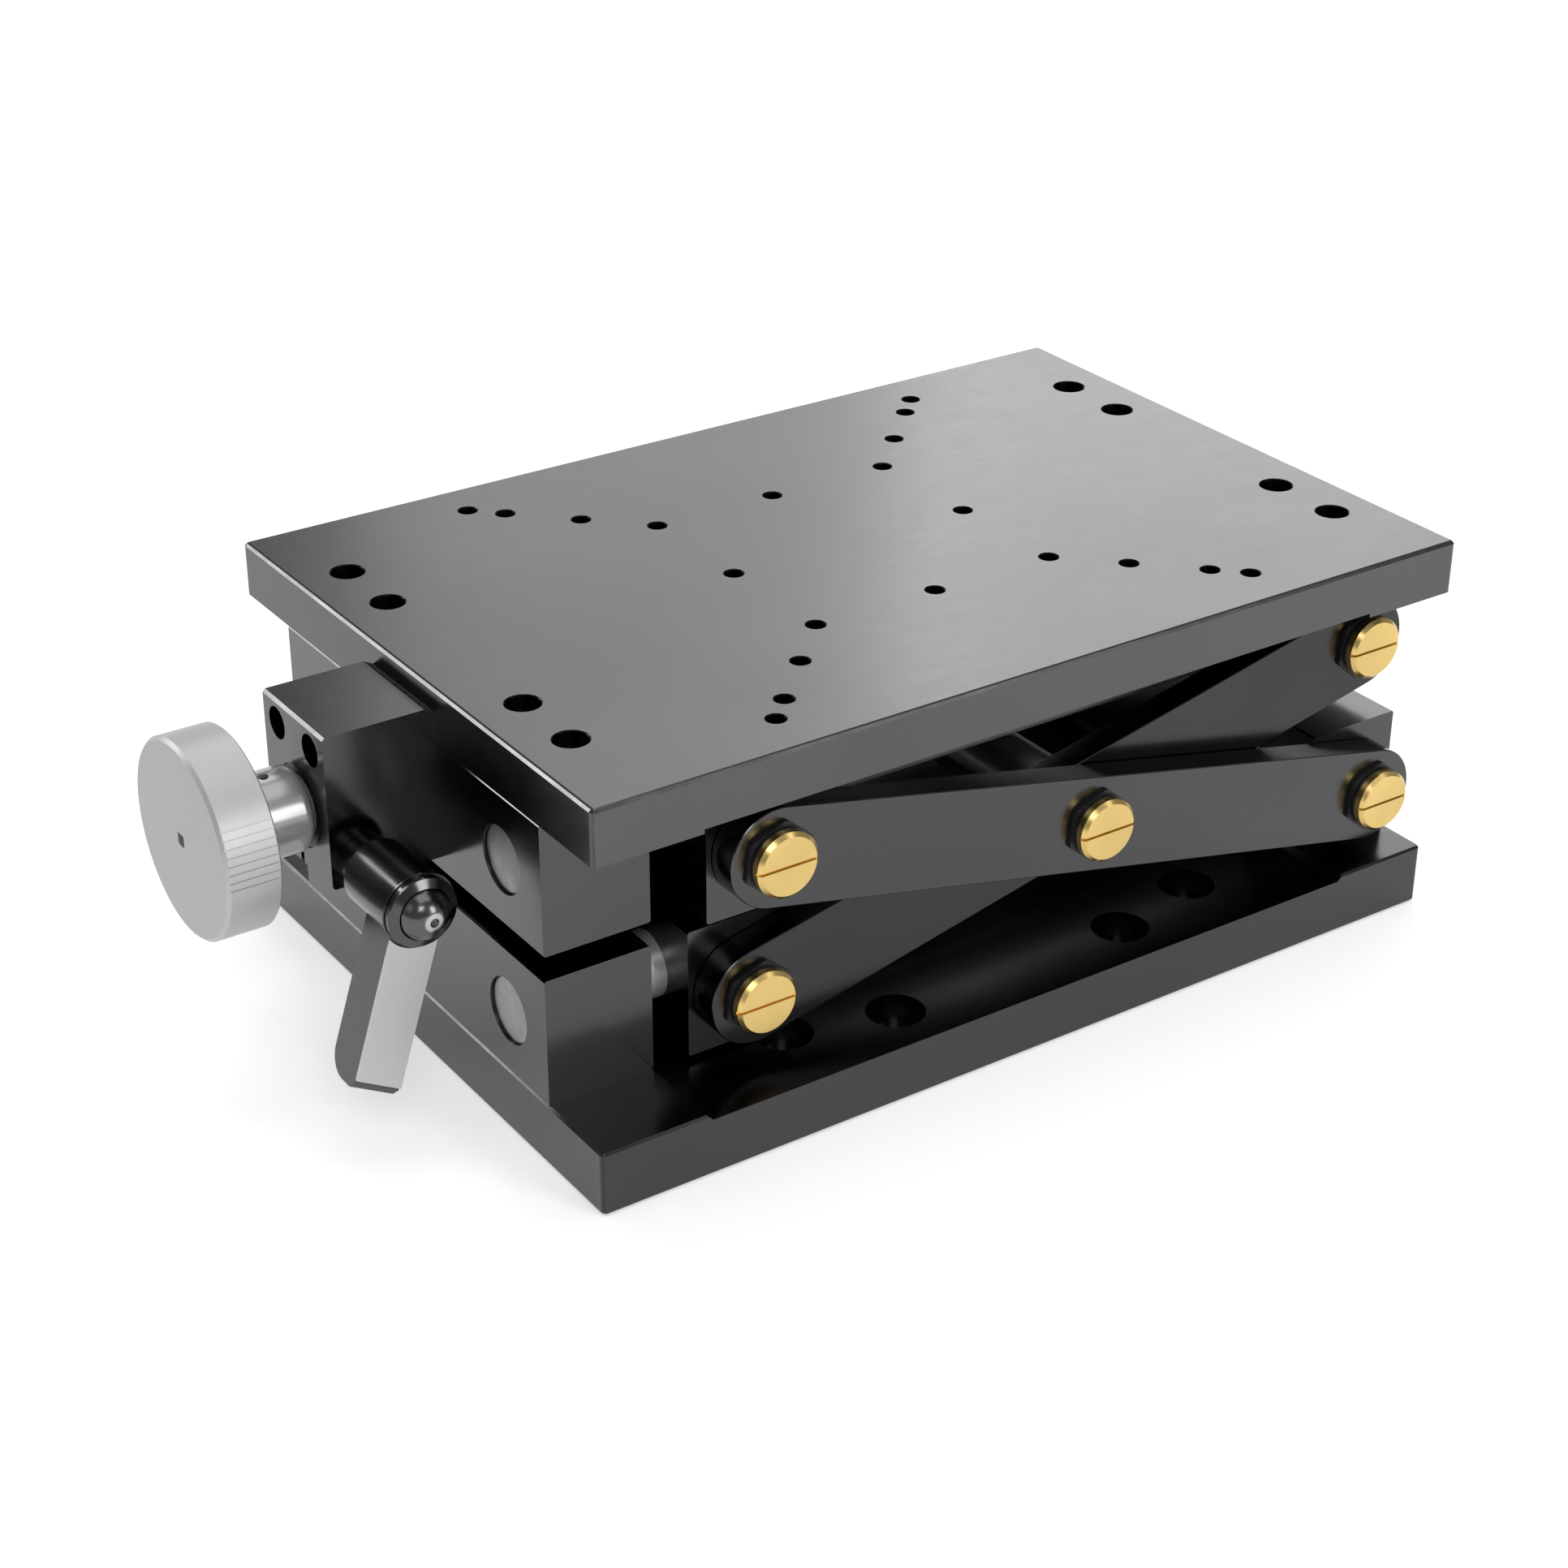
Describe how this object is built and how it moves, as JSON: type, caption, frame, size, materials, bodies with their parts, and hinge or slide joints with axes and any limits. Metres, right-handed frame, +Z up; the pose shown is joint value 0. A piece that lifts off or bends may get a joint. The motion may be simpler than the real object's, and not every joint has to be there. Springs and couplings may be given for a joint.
{
  "type": "scissor lift stage",
  "caption": "Low scissor lift stage: a drilled black table on crossed arms over a base plate, raised by a lead screw with a knurled hand knob and held by a clamp lever.",
  "frame": {"origin": "centre of the base plate's underside", "axes": "+Z up; +X along the length, away from the hand knob; +Y across the width, away from the clamp lever"},
  "size_m": [0.221, 0.12, 0.0745],
  "materials": {
    "black_anodised": "black anodised, fine satin",
    "ground_steel": "ground",
    "black_steel": "black oxide",
    "dark_steel": "turned",
    "brass": "turned, satin",
    "black_polymer": "matte",
    "bronze": "sintered",
    "black_tube": "black anodised",
    "knob_metal": "satin, fine straight grooves on the rim",
    "polished_steel": "turned and polished",
    "lever_black": "gloss",
    "lever_satin": "satin"
  },
  "bodies": {
    "base": {"base_plate": "black_anodised", "lower_left_block": "black_anodised", "lower_right_block": "black_anodised", "lower_guide_rod_front": "ground_steel", "lower_guide_rod_rear": "ground_steel", "base_plate_screws": "black_steel", "lower_rod_set_screws": "black_steel", "base_pivot_screws": "brass", "base_pivot_sleeves": "dark_steel"},
    "outer_arms": {"outer_arm_front": "black_anodised", "outer_arm_rear": "black_anodised", "outer_arm_bushes": "black_polymer", "centre_shaft": "ground_steel", "centre_screws": "brass", "centre_washers": "dark_steel", "centre_rings": "black_polymer"},
    "inner_arms": {"inner_arm_front": "black_anodised", "inner_arm_rear": "black_anodised", "inner_arm_bushes": "black_polymer", "centre_tube": "black_tube"},
    "table": {"top_plate": "black_anodised", "upper_left_block": "black_anodised", "upper_right_block": "black_anodised", "upper_guide_rod_front": "ground_steel", "upper_guide_rod_rear": "ground_steel", "top_plate_screws": "black_steel", "upper_rod_set_screws": "black_steel", "table_pivot_screws": "brass", "table_pivot_sleeves": "dark_steel", "drive_block": "black_anodised", "drive_block_screws": "black_steel", "drive_bearing": "black_polymer", "screw_bearing": "black_polymer"},
    "upper_carriage": {"upper_carriage_block": "black_anodised", "upper_carriage_bushes": "bronze", "lead_nut": "brass", "lead_nut_screws": "black_steel", "upper_carriage_pivot_screws": "brass", "upper_carriage_pivot_sleeves": "dark_steel"},
    "lower_carriage": {"lower_carriage_block": "black_anodised", "lower_carriage_bushes": "bronze", "lower_carriage_pivot_screws": "brass", "lower_carriage_pivot_sleeves": "dark_steel"},
    "hand_drive": {"knob": "knob_metal", "drive_collar": "polished_steel", "collar_set_screw": "black_steel", "lead_screw": "ground_steel", "screw_lock_ring": "black_steel"},
    "clamp_lever": {"clamp_stud": "dark_steel", "clamp_neck": "dark_steel", "clamp_hub": "lever_black", "lever_arm": "lever_black", "lever_face": "lever_satin", "clamp_ring": "lever_black", "clamp_cap": "lever_black"}
  },
  "joints": [
    {"name": "lift", "type": "hinge", "parent": "base", "child": "outer_arms", "pos_m": [0.0805, 0, 0.0235], "axis": [0, 1, 0], "range_deg": [0, 28.4]},
    {"name": "scissor_centre", "type": "hinge", "parent": "outer_arms", "child": "inner_arms", "pos_m": [0.01375, 0, 0.038], "axis": [0, 1, 0], "range_deg": [-56.8, 0]},
    {"name": "table_pivot", "type": "hinge", "parent": "inner_arms", "child": "table", "pos_m": [0.0805, 0, 0.0525], "axis": [0, 1, 0], "range_deg": [0, 28.4]},
    {"name": "upper_carriage_pivot", "type": "hinge", "parent": "outer_arms", "child": "upper_carriage", "pos_m": [-0.053, 0, 0.0525], "axis": [0, 1, 0], "range_deg": [-28.4, 0]},
    {"name": "lower_carriage_pivot", "type": "hinge", "parent": "inner_arms", "child": "lower_carriage", "pos_m": [-0.053, 0, 0.0235], "axis": [0, 1, 0], "range_deg": [0, 28.4]},
    {"name": "hand_drive_spin", "type": "hinge", "parent": "table", "child": "hand_drive", "pos_m": [-0.126, 0, 0.0545], "axis": [1, 0, 0], "range_deg": [-5375.31, 0]},
    {"name": "clamp_lever_swing", "type": "hinge", "parent": "table", "child": "clamp_lever", "pos_m": [-0.1044, -0.015, 0.0475], "axis": [0, 1, 0], "range_deg": [-30, 90]}
  ],
  "couplings": [
    {"joint": "scissor_centre", "follows": "lift", "ratio": -2},
    {"joint": "table_pivot", "follows": "lift", "ratio": 1},
    {"joint": "upper_carriage_pivot", "follows": "lift", "ratio": -1},
    {"joint": "lower_carriage_pivot", "follows": "lift", "ratio": 1},
    {"joint": "hand_drive_spin", "follows": "lift", "ratio": -189.25}
  ]
}
